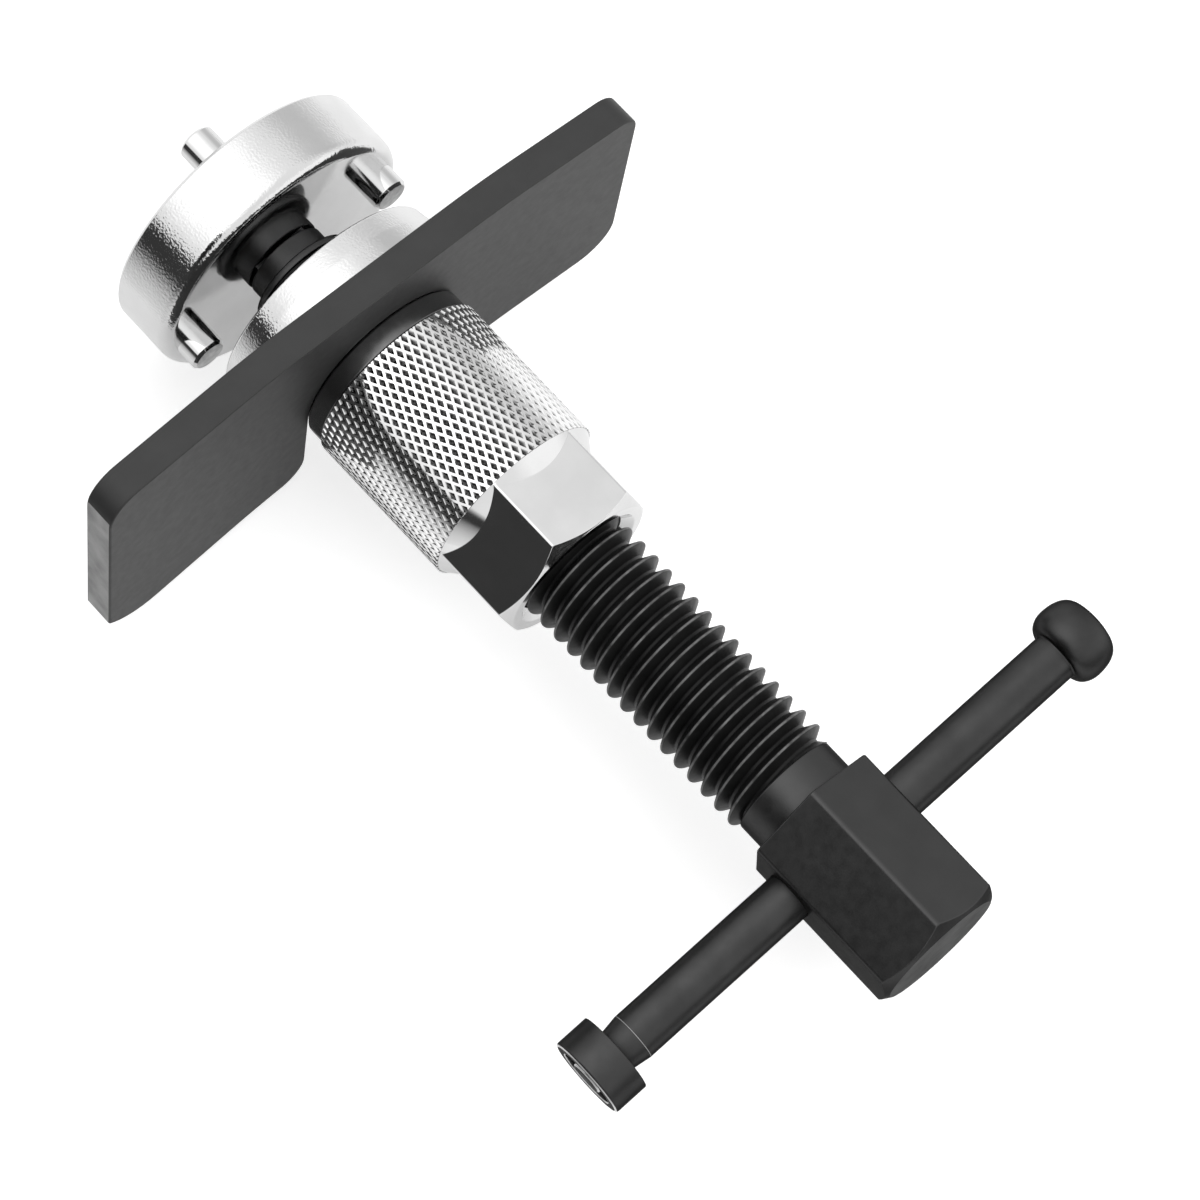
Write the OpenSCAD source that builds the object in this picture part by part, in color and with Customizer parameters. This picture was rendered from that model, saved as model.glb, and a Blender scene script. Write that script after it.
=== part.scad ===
// Wind-back tool for disc brake caliper pistons.
// The screw axis lies along Y, with the pins of the adaptor disc towards +Y and the hex head towards -Y.
// The origin is on the axis, at the front face of the adaptor disc.
// Each piece is drawn along its own +Z, which runs from the adaptor disc to the head, and is then laid down.

/* [Forcing screw] */
// Diameter over the thread crests
screw_d = 20; // [18:0.5:22]
// Thread pitch
screw_pitch = 3; // [2.5:0.25:3.5]
// Depth of the thread, crest to root
thread_depth = 1.8; // [1.2:0.1:1.9]
// Width of the flat left on the crest
crest_w = 0.4; // [0.2:0.05:0.5]
// Length of the threaded part
thread_len = 111.5; // [100:0.5:140]
// Turn at which the thread starts
thread_turn = 196; // [0:1:360]
// Diameter of the plain nose in front of the thread
nose_d = 13.8; // [13.6:0.1:15]
// Length of the plain nose
nose_len = 2.2; // [1:0.1:6]
// Diameter of the collar behind the nose
nose_collar_d = 17; // [16.5:0.1:17.5]
// Length of the collar behind the nose
nose_collar_len = 1.2; // [0.8:0.1:4]
// Diameter of the plain shank behind the thread
shank_d = 18; // [17.5:0.1:19]
// Length of the plain shank
shank_len = 5.4; // [3:0.1:12]
// Width of the square driving tang
tang_w = 9.5; // [9:0.05:9.6]
// Length of the tang
tang_len = 10; // [8:0.1:11]

/* [Head] */
// Hex head, across flats
head_af = 22; // [21:0.5:24]
// Length of the head
head_len = 28.5; // [24:0.5:34]
// Chamfer of the corners at the end of the head
head_chamfer = 2.4; // [1:0.1:3]
// Slope of that chamfer, from the end face
head_chamfer_angle = 32; // [20:1:40]
// Distance of the bar hole from the front of the head
bar_hole_z = 7.4; // [7:0.1:12]
// Turn of the flats, and of the bar that passes square through them, from the plate
head_turn = 10; // [0:1:30]

/* [Adaptor disc] */
// Diameter of the disc
disc_d = 48; // [46:0.5:60]
// Thickness of the disc
disc_t = 12; // [11.5:0.1:16]
// Rounding of the rear edge
disc_round = 2.2; // [0.5:0.1:2.5]
// Chamfer of the front edge
disc_chamfer = 0.6; // [0.2:0.1:1.2]
// Diameter of the drive pins
pin_d = 6.2; // [5.5:0.1:6.5]
// Circle that the rear pins stand on
rear_pin_circle_d = 38; // [37:0.1:39]
// Circle that the front pins stand on
front_pin_circle_d = 40; // [37:0.1:40.4]
// How far the rear pins stand out
rear_pin_len = 4.2; // [3:0.1:6]
// How far the front pins stand out
front_pin_len = 4.8; // [3:0.1:6]
// Chamfer of the pin ends
pin_chamfer = 0.5; // [0.2:0.1:0.8]
// Diameter of a pin's pressed stem
pin_stem_d = 4.5; // [4:0.1:5]
// Length of a pin's pressed stem
pin_stem_len = 5; // [3:0.1:5.2]
// Turn of the disc's rear pins from the plate
disc_turn = 13; // [0:1:90]

/* [Tip magnet] */
// Diameter of the magnet in the end of the tang
magnet_d = 5; // [3:0.1:6]
// Thickness of the magnet
magnet_t = 3; // [2:0.1:5]

/* [Drive nut] */
// Diameter of the knurled sleeve
knurl_d = 31.6; // [31.2:0.1:36]
// Length of the knurled sleeve
knurl_len = 29.1; // [24:0.1:40]
// Chamfer of the sleeve's front edge
knurl_chamfer = 0.8; // [0.4:0.1:1.2]
// Length of the cone from the sleeve to the hex
cone_len = 2.8; // [2:0.1:5]
// Hex, across flats
nut_af = 27; // [26:0.1:27]
// Length of the hex, behind the cone
nut_hex_len = 12; // [9:0.1:16]
// Chamfer of the hex corners at the end
nut_chamfer = 2.4; // [0.8:0.1:2.6]
// Slope of that chamfer, from the end face
nut_chamfer_angle = 32; // [20:1:40]
// Depth of the countersink at the screw hole
countersink = 1.5; // [0.5:0.1:2]
// Turn of the nut's flats from the plate
nut_turn = 22; // [0:1:60]
// Diameter of the neck that the plate hangs on
neck_d = 28.8; // [28:0.1:29.2]
// Diameter of the spigot that the collar is pressed on
spigot_d = 25; // [24:0.1:26]
// Length of that spigot
spigot_len = 8; // [5:0.1:10]

/* [Thrust collar] */
// Diameter of the collar
collar_d = 41.6; // [39:0.1:46]
// Length of the collar
collar_len = 13.7; // [13:0.1:18]
// Rounding of the domed front
dome_r = 9.4; // [7:0.1:9.5]
// Distance of the collar from the adaptor disc
collar_gap = 3.6; // [2:0.1:20]

/* [Spacer ring] */
// Outer diameter of the ring
ring_d = 30.6; // [30.2:0.1:31]
// Thickness of the ring
ring_t = 1.2; // [0.8:0.1:2]

/* [Reaction plate] */
// Length of the plate to the left of the screw axis
plate_left = 55.8; // [48:0.1:65]
// Length of the plate to the right of the screw axis
plate_right = 49.9; // [46:0.1:65]
// Height of the plate above the screw axis
plate_top = 23.8; // [23:0.1:30]
// Depth of the plate below the screw axis
plate_bottom = 20; // [19:0.1:26]
// Slope of the lower edge, which rises to the right
plate_slope = 2.2; // [0:0.1:3]
// Thickness of the plate
plate_t = 5.5; // [4:0.1:8]
// Rounding of the upper left corner
upper_left_r = 5.5; // [3:0.5:9]
// Rounding of the upper right corner
upper_right_r = 4; // [3:0.5:9]
// Rounding of the lower right corner
lower_right_r = 7; // [3:0.5:9]
// Radius of the curve that runs out at the lower left corner
lower_left_r = 13; // [11:0.5:16]
// Length of that curve
lower_left_len = 9.5; // [6:0.5:10]
// Rounding of the corners at the mouth of the slot
slot_corner_r = 5; // [2:0.5:6]
// Width of the middle of the plate, between the bends
plate_flat_w = 46; // [43:0.5:60]
// Angle at which each wing sweeps back
wing_sweep = 2.8; // [0:0.1:4]

/* [Tommy bar] */
// Diameter of the bar
bar_d = 8; // [7:0.1:8.2]
// Length of the bar between its knob and its cap
bar_len = 90; // [80:0.5:130]
// How far the middle of the bar lies from the screw axis, towards the knob
bar_shift = -1; // [-8:0.5:8]
// Diameter of the formed knob
knob_d = 13; // [11:0.1:15]
// Length of the formed knob
knob_len = 7.8; // [7:0.1:11]
// Diameter of the flat shoulder under the knob
shoulder_d = 10.4; // [9:0.1:10.8]
// Distance of the knob's widest place from its shoulder
knob_belly = 3; // [2:0.1:5]
// Power of the knob's end curve: a smaller one is fuller
knob_fullness = 0.5; // [0.4:0.05:1]
// Diameter of the end cap
cap_d = 13.5; // [11:0.1:15]
// Length of the end cap
cap_len = 5.9; // [5:0.1:9]
// Rounding of the cap's outer edge
cap_round = 0.5; // [0.3:0.1:2]
// Length of the bar's taper in front of the cap
taper_len = 3.4; // [2:0.1:6]
// Diameter of the bar where it meets the cap
taper_d = 7; // [6.8:0.1:7]
// Diameter of the riveted stem in the cap
rivet_d = 5.6; // [5:0.1:6]
// Depth of the ring recess round the riveted stem
rivet_recess = 0.6; // [0.3:0.1:1]

/* [Clearances] */
// Radial clearance of the screw in the nut
thread_fit = 0.08; // [0.02:0.01:0.1]
// Radial clearance of the bar in the head
bar_fit = 0.08; // [0.02:0.01:0.1]
// Radial clearance of the ring on the neck
ring_fit = 0.05; // [0.02:0.01:0.1]
// Clearance of the tang in the disc, on each side
tang_fit = 0.15; // [0.05:0.01:0.3]
// Clearance between the pressed pieces
press_fit = 0.02; // [0.01:0.01:0.05]
// Gap between faces that turn or slide on each other
face_gap = 0.3; // [0.2:0.05:0.5]

/* [Hidden] */
$fn = 96;
// Thread facets in one turn
thread_steps = 24;
// Extra length for cuts and joins that run past a face
past = 1;

// Corner radius of a hexagon, from its size across flats
function hex_r(af) = af / (2 * cos(30));

// Stations along the screw axis
nose_z = disc_t + face_gap;
nose_collar_z = nose_z + nose_len;
thread_z = nose_collar_z + nose_collar_len;
shank_z = thread_z + thread_len;
head_z = shank_z + shank_len;
head_end_z = head_z + head_len;
bar_z = head_z + bar_hole_z;
collar_z = disc_t + collar_gap;
collar_end_z = collar_z + collar_len;
plate_z = collar_end_z + face_gap;
ring_z = plate_z + plate_t + face_gap;
knurl_z = ring_z + ring_t + face_gap;
cone_z = knurl_z + knurl_len;
nut_hex_z = cone_z + cone_len;
nut_end_z = nut_hex_z + nut_hex_len;

thread_bore_d = screw_d + 2 * thread_fit;
slot_w = neck_d + 2 * face_gap;
bar_hole_d = bar_d + 2 * bar_fit;
knob_x = bar_shift + bar_len / 2;
cap_x = bar_shift - bar_len / 2;

// Lays a piece down: its +Z becomes -Y, and its +Y becomes +Z
module lay() {
  rotate([90, 0, 0]) children();
}

// Hex prism from z = 0, with flats facing the angle turn
module hex_bar(af, length, turn) {
  rotate([0, 0, turn + 30]) cylinder(r = hex_r(af), h = length, $fn = 6);
}

// Round blank that chamfers the corners of a hexagon at its far end
module corner_cone(af, length, chamfer, slope) {
  reach = hex_r(af) + past;
  end_r = hex_r(af) - chamfer;
  rotate_extrude()
    polygon([[0, 0], [reach, 0], [reach, length - (reach - end_r) * tan(slope)],
             [end_r, length], [0, length]]);
}

// Solid threaded rod, from a helix one turn longer at each end, cut square to the length
module threaded_rod(length) {
  crest_r = screw_d / 2;
  root_r = crest_r - thread_depth;
  flank_w = thread_depth * tan(30);
  root_w = screw_pitch - crest_w - 2 * flank_w;
  crest_z = root_w + flank_w;
  profile = [[root_r, 0], [root_r, root_w], [crest_r, crest_z], [crest_r, crest_z + crest_w]];
  lines = len(profile);
  last = (ceil(length / screw_pitch) + 3) * thread_steps;
  start_z = -2 * screw_pitch;
  points = [for (step = [0:last]) for (p = profile)
    let (turn = 360 * step / thread_steps)
    [p[0] * cos(turn), p[0] * sin(turn), start_z + p[1] + screw_pitch * step / thread_steps]];
  low = len(points);
  high = low + 1;
  ends = [[0, 0, start_z - screw_pitch], [0, 0, start_z + screw_pitch * (last / thread_steps + 2)]];
  flanks = [for (step = [0:last - 1]) for (k = [0:lines - 2])
    let (a = step * lines + k) each [[a, a + 1, a + lines], [a + 1, a + lines + 1, a + lines]]];
  roots = [for (step = [0:last - thread_steps - 1])
    let (a = step * lines + lines - 1, b = (step + thread_steps) * lines)
    each [[a, b, a + lines], [b, b + lines, a + lines]]];
  low_rim = [for (step = [0:thread_steps - 1]) [low, step * lines, (step + 1) * lines]];
  low_step = concat([for (k = [0:lines - 2]) [low, k + 1, k]], [[low, thread_steps * lines, lines - 1]]);
  top = (last - thread_steps) * lines + lines - 1;
  high_rim = [for (step = [0:thread_steps - 1]) [high, top + (step + 1) * lines, top + step * lines]];
  high_step = concat([for (k = [0:lines - 2]) [high, last * lines + k, last * lines + k + 1]],
                     [[high, top, last * lines]]);
  intersection() {
    rotate([0, 0, thread_turn]) polyhedron(
      points = concat(points, ends),
      faces = concat(flanks, roots, low_rim, low_step, high_rim, high_step));
    cylinder(d = screw_d + 2 * past, h = length);
  }
}

// Screw with its head, shank, thread, nose and square tang
module forcing_screw() {
  color("#2b2b2b") lay() union() {
    difference() {
      intersection() {
        translate([0, 0, head_z]) hex_bar(head_af, head_len, head_turn);
        translate([0, 0, head_z]) corner_cone(head_af, head_len, head_chamfer, head_chamfer_angle);
      }
      rotate([0, 0, head_turn]) translate([-head_af, 0, bar_z]) rotate([0, 90, 0])
        cylinder(d = bar_hole_d, h = 2 * head_af);
    }
    translate([0, 0, shank_z]) cylinder(d = shank_d, h = shank_len + past);
    translate([0, 0, thread_z]) threaded_rod(thread_len);
    translate([0, 0, nose_collar_z]) cylinder(d = nose_collar_d, h = nose_collar_len);
    translate([0, 0, nose_z]) cylinder(d = nose_d, h = nose_len);
    difference() {
      rotate([0, 0, disc_turn]) translate([-tang_w / 2, -tang_w / 2, nose_z - tang_len])
        cube([tang_w, tang_w, tang_len + past]);
      translate([0, 0, nose_z - tang_len - past]) cylinder(d = magnet_d + 2 * press_fit, h = magnet_t + past);
    }
  }
}

// Magnet in the end of the tang
module tip_magnet() {
  color("silver") lay() translate([0, 0, nose_z - tang_len]) cylinder(d = magnet_d, h = magnet_t);
}

// Rectangle from the axis out to a radius, with its far corner rounded
module rounded_section(r, length, round_r) {
  union() {
    square([r - round_r, length]);
    square([r, length - round_r]);
    intersection() {
      square([r, length]);
      translate([r - round_r, length - round_r]) circle(r = round_r);
    }
  }
}

// Disc that takes the pins, with its square socket
module adaptor_disc() {
  socket_w = tang_w + 2 * tang_fit;
  color("#d8d8d8") lay() rotate([0, 0, disc_turn]) difference() {
    rotate_extrude() difference() {
      rounded_section(disc_d / 2, disc_t, disc_round);
      translate([disc_d / 2, 0]) rotate(45) square(disc_chamfer * sqrt(2), center = true);
    }
    translate([-socket_w / 2, -socket_w / 2, -past]) cube([socket_w, socket_w, disc_t + 2 * past]);
    for (side = [-1, 1]) {
      translate([side * rear_pin_circle_d / 2, 0, disc_t - pin_stem_len]) pin_hole();
      translate([0, side * front_pin_circle_d / 2, pin_stem_len]) mirror([0, 0, 1]) pin_hole();
    }
  }
}

// Hole for the stem of a pin, from its floor at z = 0
module pin_hole() {
  cylinder(d = pin_stem_d + 2 * press_fit, h = pin_stem_len + past);
}

// Drive pin that stands on z = 0 with its stem below
module drive_pin(length) {
  rotate_extrude()
    polygon([[0, -pin_stem_len], [pin_stem_d / 2, -pin_stem_len], [pin_stem_d / 2, 0], [pin_d / 2, 0],
             [pin_d / 2, length - pin_chamfer], [pin_d / 2 - pin_chamfer, length], [0, length]]);
}

// Rear pin on the side -1 or 1 of the disc
module rear_pin(side) {
  color("#d0d0d0") lay() rotate([0, 0, disc_turn])
    translate([side * rear_pin_circle_d / 2, 0, disc_t]) drive_pin(rear_pin_len);
}

// Front pin on the side -1 or 1 of the disc
module front_pin(side) {
  color("#d0d0d0") lay() rotate([0, 0, disc_turn])
    translate([0, side * front_pin_circle_d / 2, 0]) mirror([0, 0, 1]) drive_pin(front_pin_len);
}

// Knurled sleeve with its hex, neck and spigot in one piece
module drive_nut() {
  hex_len = cone_len + nut_hex_len;
  color("#d4d4d4") lay() difference() {
    union() {
      translate([0, 0, collar_end_z - spigot_len]) cylinder(d = spigot_d, h = spigot_len);
      translate([0, 0, collar_end_z]) cylinder(d = neck_d, h = knurl_z - collar_end_z);
      translate([0, 0, knurl_z])
        cylinder(d1 = knurl_d - 2 * knurl_chamfer, d2 = knurl_d, h = knurl_chamfer);
      translate([0, 0, knurl_z + knurl_chamfer]) cylinder(d = knurl_d, h = knurl_len - knurl_chamfer);
      translate([0, 0, cone_z]) cylinder(d1 = knurl_d, d2 = nut_af, h = cone_len);
      translate([0, 0, cone_z]) intersection() {
        hex_bar(nut_af, hex_len, nut_turn);
        corner_cone(nut_af, hex_len, nut_chamfer, nut_chamfer_angle);
      }
    }
    translate([0, 0, collar_z]) cylinder(d = thread_bore_d, h = nut_end_z - collar_z + past);
    translate([0, 0, nut_end_z - countersink])
      cylinder(d1 = thread_bore_d, d2 = thread_bore_d + 2 * countersink, h = countersink);
  }
}

// Domed collar pressed on the front of the nut
module thrust_collar() {
  color("#dadada") lay() translate([0, 0, collar_end_z]) mirror([0, 0, 1]) difference() {
    rotate_extrude() rounded_section(collar_d / 2, collar_len, dome_r);
    translate([0, 0, -past]) cylinder(d = thread_bore_d, h = collar_len + 2 * past);
    translate([0, 0, -past]) cylinder(d = spigot_d + 2 * press_fit, h = spigot_len + past);
  }
}

// Thin ring on the neck, behind the plate
module spacer_ring() {
  color("#202020") lay() translate([0, 0, ring_z]) difference() {
    cylinder(d = ring_d, h = ring_t);
    translate([0, 0, -past]) cylinder(d = neck_d + 2 * ring_fit, h = ring_t + 2 * past);
  }
}

// Points of an arc round a centre
function arc(centre, r, from, to) =
  [for (i = [0:12]) centre + r * [cos(from + (to - from) * i / 12), sin(from + (to - from) * i / 12)]];

// Centre, at a place along the plate, of an arc that touches the lower edge from above
function low_centre(x, r) = [x, x * tan(plate_slope) - plate_bottom + r / cos(plate_slope)];

// Outline of the plate, with its slot open at the bottom
module plate_outline() {
  wall = slot_w / 2;
  down = 270 + plate_slope;
  run_out = 270 - asin(lower_left_len / lower_left_r);
  lower_left = arc(low_centre(lower_left_len - plate_left, lower_left_r), lower_left_r, run_out, down);
  left_mouth = arc(low_centre(-wall - slot_corner_r, slot_corner_r), slot_corner_r, down, 360);
  right_mouth = arc(low_centre(wall + slot_corner_r, slot_corner_r), slot_corner_r, 180, down);
  lower_right = arc(low_centre(plate_right - lower_right_r, lower_right_r), lower_right_r, down, 360);
  upper_right = arc([plate_right - upper_right_r, plate_top - upper_right_r], upper_right_r, 0, 90);
  upper_left = arc([upper_left_r - plate_left, plate_top - upper_left_r], upper_left_r, 90, 180);
  difference() {
    polygon(concat(lower_left, left_mouth, [[-wall, 0], [wall, 0]], right_mouth,
                   lower_right, upper_right, upper_left));
    circle(d = slot_w);
  }
}

// Plate with a flat middle and wings that sweep back, cut to its outline
module reaction_plate() {
  wing_end = max(plate_left, plate_right) + past;
  flat = plate_flat_w / 2;
  back = (wing_end - flat) * tan(wing_sweep);
  front = [[-wing_end, back], [-flat, 0], [flat, 0], [wing_end, back]];
  rear = [for (i = [3:-1:0]) front[i] + [0, plate_t]];
  height = 2 * (plate_top + plate_bottom);
  color("#4a4a4a") lay() translate([0, 0, plate_z]) intersection() {
    translate([0, height / 2, 0]) rotate([90, 0, 0])
      linear_extrude(height = height) polygon(concat(front, rear));
    translate([0, 0, -past]) linear_extrude(height = plate_t + back + 2 * past) plate_outline();
  }
}

// Moves what is drawn along +Z to the bar's axis, with the knob towards +X
module on_bar() {
  lay() rotate([0, 0, head_turn]) translate([0, 0, bar_z]) rotate([0, 90, 0]) children();
}

// Half section of the bar: riveted stem, taper, bar and mushroom-shaped knob
module bar_section() {
  swell = (knob_d - shoulder_d) / 2;
  knob_front = knob_len - knob_belly;
  stem = [[0, cap_x - cap_len], [rivet_d / 2, cap_x - cap_len], [rivet_d / 2, cap_x]];
  taper = [[taper_d / 2, cap_x], [bar_d / 2, cap_x + taper_len]];
  rise = [for (a = [0:10:90]) [shoulder_d / 2 + swell * sin(a), knob_x + knob_belly * (1 - cos(a))]];
  crown = [for (a = [10:10:80])
    [knob_d / 2 * pow(cos(a), knob_fullness), knob_x + knob_belly + knob_front * sin(a)]];
  polygon(concat(stem, taper, [[bar_d / 2, knob_x]], rise, crown, [[0, knob_x + knob_len]]));
}

// Bar with its formed knob, its taper and its riveted stem
module tommy_bar() {
  color("#3a3a3a") on_bar() rotate_extrude() bar_section();
}

// Cap riveted on the end of the bar
module bar_end_cap() {
  recess_d = (cap_d + rivet_d) / 2;
  color("#303030") on_bar() translate([0, 0, cap_x]) mirror([0, 0, 1]) difference() {
    rotate_extrude() rounded_section(cap_d / 2, cap_len, cap_round);
    translate([0, 0, -past]) cylinder(d = rivet_d + 2 * press_fit, h = cap_len + 2 * past);
    translate([0, 0, cap_len - rivet_recess]) cylinder(d = recess_d, h = rivet_recess + past);
  }
}

forcing_screw();
tip_magnet();
adaptor_disc();
rear_pin(-1);  // left_rear_pin
rear_pin(1);  // right_rear_pin
front_pin(1);  // upper_front_pin
front_pin(-1);  // lower_front_pin
drive_nut();
thrust_collar();
spacer_ring();
reaction_plate();
tommy_bar();
bar_end_cap();
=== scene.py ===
"""Looks of a wind-back tool for disc brake caliper pistons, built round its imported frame.

Pieces are drawn in millimetres along the tool's own axis: x along the plate, y up, and z from the front of
the adaptor disc back to the hex head. TOOL takes them to the frame, in metres.
"""
import math

import bmesh
import bpy
from mathutils import Matrix, Vector


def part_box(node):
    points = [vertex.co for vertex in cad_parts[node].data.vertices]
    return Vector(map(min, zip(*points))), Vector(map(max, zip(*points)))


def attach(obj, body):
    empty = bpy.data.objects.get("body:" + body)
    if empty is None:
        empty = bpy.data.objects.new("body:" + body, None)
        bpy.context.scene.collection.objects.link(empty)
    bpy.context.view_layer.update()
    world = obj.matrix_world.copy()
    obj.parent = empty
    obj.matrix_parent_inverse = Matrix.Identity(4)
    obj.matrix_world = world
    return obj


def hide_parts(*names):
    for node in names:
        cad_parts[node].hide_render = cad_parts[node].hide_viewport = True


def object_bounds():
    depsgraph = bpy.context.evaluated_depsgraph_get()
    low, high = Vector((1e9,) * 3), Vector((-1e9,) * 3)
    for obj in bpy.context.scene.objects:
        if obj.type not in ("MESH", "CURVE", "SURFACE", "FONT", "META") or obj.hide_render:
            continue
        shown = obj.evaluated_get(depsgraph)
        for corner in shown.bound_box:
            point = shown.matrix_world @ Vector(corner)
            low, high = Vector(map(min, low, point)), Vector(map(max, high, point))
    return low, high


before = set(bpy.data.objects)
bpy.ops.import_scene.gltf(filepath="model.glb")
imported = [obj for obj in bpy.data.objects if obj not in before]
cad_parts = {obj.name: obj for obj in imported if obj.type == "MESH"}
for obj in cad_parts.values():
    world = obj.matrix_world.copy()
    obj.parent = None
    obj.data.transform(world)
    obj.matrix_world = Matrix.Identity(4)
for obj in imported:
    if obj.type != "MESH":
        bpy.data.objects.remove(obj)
cad_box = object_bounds()

MM = 0.001
TOOL = Matrix(((MM, 0, 0, 0), (0, 0, -MM, 0), (0, MM, 0, 0), (0, 0, 0, 1)))
TURN = 2 * math.pi


def along(node):
    """First and last place of a node along the screw axis, in millimetres."""
    low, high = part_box(node)
    return -high.y / MM, -low.y / MM


def reach(node):
    """How far a node reaches to the right of the screw axis, in millimetres."""
    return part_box(node)[1].x / MM


# Stations and sizes that the frame gives
DISC_FRONT, DISC_REAR = along("adaptor_disc")
DISC_R = reach("adaptor_disc")
COLLAR_REAR = along("thrust_collar")[1]
COLLAR_R = reach("thrust_collar")
PLATE_FRONT = along("reaction_plate")[0]
RING_FRONT, RING_REAR = along("spacer_ring")
RING_R = reach("spacer_ring")
NUT_FRONT, NUT_REAR = along("drive_nut")
SCREW_FRONT, SCREW_REAR = along("forcing_screw")
MAGNET_FRONT, MAGNET_REAR = along("tip_magnet")
MAGNET_R = reach("tip_magnet")
BAR_Z = sum(along("tommy_bar")) / 2
KNOB_R = BAR_Z - along("tommy_bar")[0]
CAP_R = BAR_Z - along("bar_end_cap")[0]
PLATE_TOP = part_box("reaction_plate")[1].z / MM
PLATE_LEFT = -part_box("reaction_plate")[0].x / MM
PLATE_RIGHT = reach("reaction_plate")

# Edge rounds that several pieces share, and the gap of a pressed seat
HAIR_ROUND = 0.15
FINE_ROUND = 0.2
SMALL_ROUND = 0.25
EDGE_ROUND = 0.3
PRESS_GAP = 0.02

# Steps round a turned piece, by its size
SMALL_STEPS = 64
MEDIUM_STEPS = 96
LARGE_STEPS = 128
COLLAR_STEPS = 160
DISC_STEPS = 192

# Steps of arcs and of hexagons
ARC_SHARE = 0.45
ARC_STEPS = 3
ARC_STEPS_PER_ROOT = 2.5
CORNER_STEPS = 4
FLAT_STEPS = 9

# Distances at which points count as one, edges as nothing and a rim as on its plane
WELD = 1e-5
NOTHING = 1e-6
ON_PLANE = 1e-4

# Forcing screw
SCREW_R = 10.0
PITCH = 3.0
THREAD_DEPTH = 1.8
THREAD_FLANK = math.radians(30)
THREAD_STEPS = 96
THREAD_LEAD = 0.4
LEAD_SLOPE = 1.1
SPARE_TURNS = 2
CREST_W = 0.4
CREST_FILLET = 0.3
ROOT_FILLET = 0.35
CREST_Z = 82.09
CREST_ANGLE = math.radians(31.2)
RUB_START = 0.07
RUB_FULL = 0.01
TANG_LEN = 10.0
TANG_W = 9.5
TANG_ROUND = 0.5
NOSE_Z = SCREW_FRONT + TANG_LEN
NOSE_R = 6.9
NOSE_LEN = 3.7
NOSE_COLLAR_Z = NOSE_Z + NOSE_LEN
NOSE_COLLAR_R = 9.0
NOSE_COLLAR_LEN = 1.2
NOSE_STEP_ROUND = 0.35
THREAD_Z = NOSE_COLLAR_Z + NOSE_COLLAR_LEN
HEAD_LEN = 28.5
HEAD_Z = SCREW_REAR - HEAD_LEN
SHANK_LEN = 5.4
SHANK_Z = HEAD_Z - SHANK_LEN
SHANK_R = 9.0
SHANK_ROUND = 0.4
SHANK_IN_THREAD = 0.4
SHANK_IN_HEAD = 0.2
HEAD_AF = 22.0
HEAD_TURN = math.radians(10)
HEAD_CORNER = 1.0
HEAD_END_R = 10.3
HEAD_END_FACING = 0.99
HEX_CHAMFER = math.tan(math.radians(32))
BAR_HOLE_R = 4.08

# Adaptor disc and pins
DISC_TURN = math.radians(13)
SOCKET_W = 9.8
DISC_ROUND = 2.2
DISC_CHAMFER = 0.6
PIN_SUNK = 2.0
PIN_STEP = 0.6
PIN_CHAMFER = 0.5
PIN_END_FACING = 0.9

# Orange peel of a forged rim: how far inside the rim it starts and is full
PEEL_START = 2.2
PEEL_FULL = 0.6

# Drive nut, with shares of the knurl's depth at which its painted shade and its painted highlight are full
KNURL_R = 15.8
KNURL_GAP = 0.3
KNURL_Z = RING_REAR + KNURL_GAP
KNURL_LEAD = 2.2
KNURL_START = KNURL_Z + KNURL_LEAD
KNURL_LEN = 29.1
CONE_Z = KNURL_Z + KNURL_LEN
CONE_LEN = 2.8
CONE_STEP = 0.25
KNURL_COUNT = 70
KNURL_DEPTH = 0.44
KNURL_STEP = 2.87
KNURL_LEVELS = ((0.7, 0), (0.5, 0.55), (0.28, 0.88), (0.1, 1))
KNURL_SHADE_SHARE = 0.8
KNURL_HIGHLIGHT_SHARE = 0.1
NUT_AF = 27.0
NUT_TURN = math.radians(22)
NUT_CORNER = 0.5
NUT_END_R = 13.19
NUT_LEAST_CHAMFER = 0.02
NUT_BORE_R = 10.08
COUNTERSINK = 1.5
NECK_R = 14.4
SPIGOT_R = 12.5

# Thrust collar and ring
COLLAR_LEN = 7.85
COLLAR_EDGE = COLLAR_REAR - COLLAR_LEN
COLLAR_TAPER = 0.6
COLLAR_CROWN = 4.0
COLLAR_FRONT_ROUND = 0.6
RING_GAP = 0.15
RING_BACK = KNURL_START - RING_GAP
RING_BORE_R = 14.45
RING_BACK_ROUND = 1.0

# Reaction plate
PLATE_T = 5.5
SLOT_R = 14.7
PLATE_BEND = 23.0
PLATE_SWEEP = math.tan(math.radians(2.8))
BEND_SPREAD = 7.0
BEND_CUTS = 4
PLATE_BOTTOM = 20.0
PLATE_SLOPE = math.radians(2.2)
UPPER_LEFT_R = 5.5
UPPER_RIGHT_R = 4.0
LOWER_RIGHT_R = 7.0
LOWER_LEFT_R = 13.0
LOWER_LEFT_LEN = 9.5
LOWER_LEFT_STEPS = 16
MOUTH_R = 5.0
ARCH_STEPS = 32
RIM_ANGLE = math.radians(60)
RIM_BEVEL = 0.35
RIM_SEGMENTS = 3
PLATE_END_FACING = 0.98

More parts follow.
